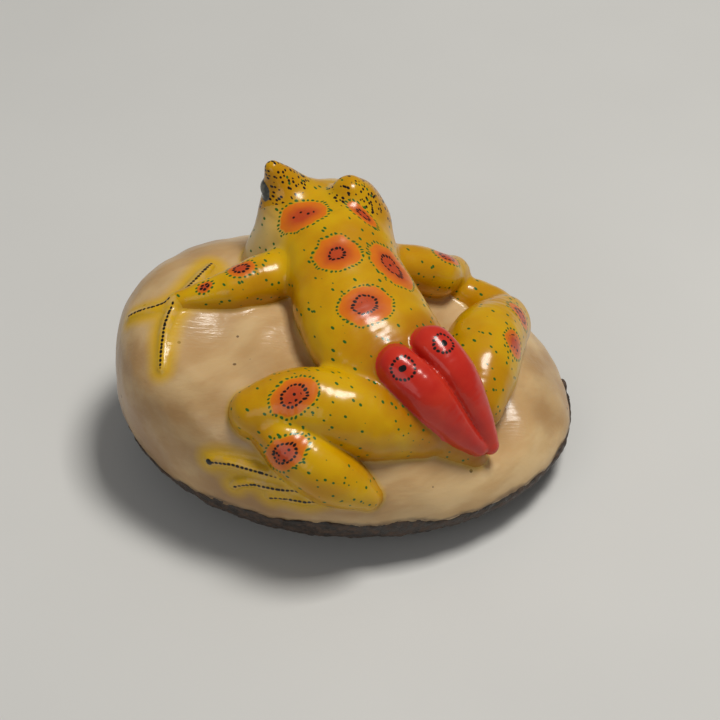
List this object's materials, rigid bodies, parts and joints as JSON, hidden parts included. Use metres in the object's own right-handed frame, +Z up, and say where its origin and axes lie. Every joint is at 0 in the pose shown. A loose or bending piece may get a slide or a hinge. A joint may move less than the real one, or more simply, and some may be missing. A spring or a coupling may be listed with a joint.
{
  "type": "carved nut frog",
  "caption": "Painted frog carved in relief, lying across the top of a polished ivory palm nut that keeps its dark seed coat underneath; a solid desk ornament.",
  "frame": {"origin": "centre of the overall box on the plane that the nut rests on", "axes": "+Z up, +Y the way the frog faces, +X to the frog's right; the nut's long axis runs diagonally, from front left to rear right"},
  "size_m": [0.0498, 0.0482, 0.0316],
  "materials": {
    "tinted_ivory": "gloss",
    "yellow_skin": "gloss",
    "eye_grey": "gloss",
    "red_lobe": "gloss",
    "nut_ivory": "gloss",
    "seed_coat": "satin"
  },
  "bodies": {
    "root": {"left_hand": "tinted_ivory", "right_hand": "tinted_ivory", "left_foot": "tinted_ivory", "right_foot": "tinted_ivory", "left_forearm": "yellow_skin", "right_forearm": "yellow_skin", "left_shank": "yellow_skin", "right_shank": "yellow_skin", "left_upper_arm": "yellow_skin", "right_upper_arm": "yellow_skin", "left_thigh": "yellow_skin", "right_thigh": "yellow_skin", "left_eye": "eye_grey", "right_eye": "eye_grey", "left_eye_mound": "yellow_skin", "right_eye_mound": "yellow_skin", "left_rump_lobe": "red_lobe", "right_rump_lobe": "red_lobe", "head": "yellow_skin", "trunk": "yellow_skin", "nut_base": "nut_ivory", "seed_coat": "seed_coat"}
  },
  "joints": []
}
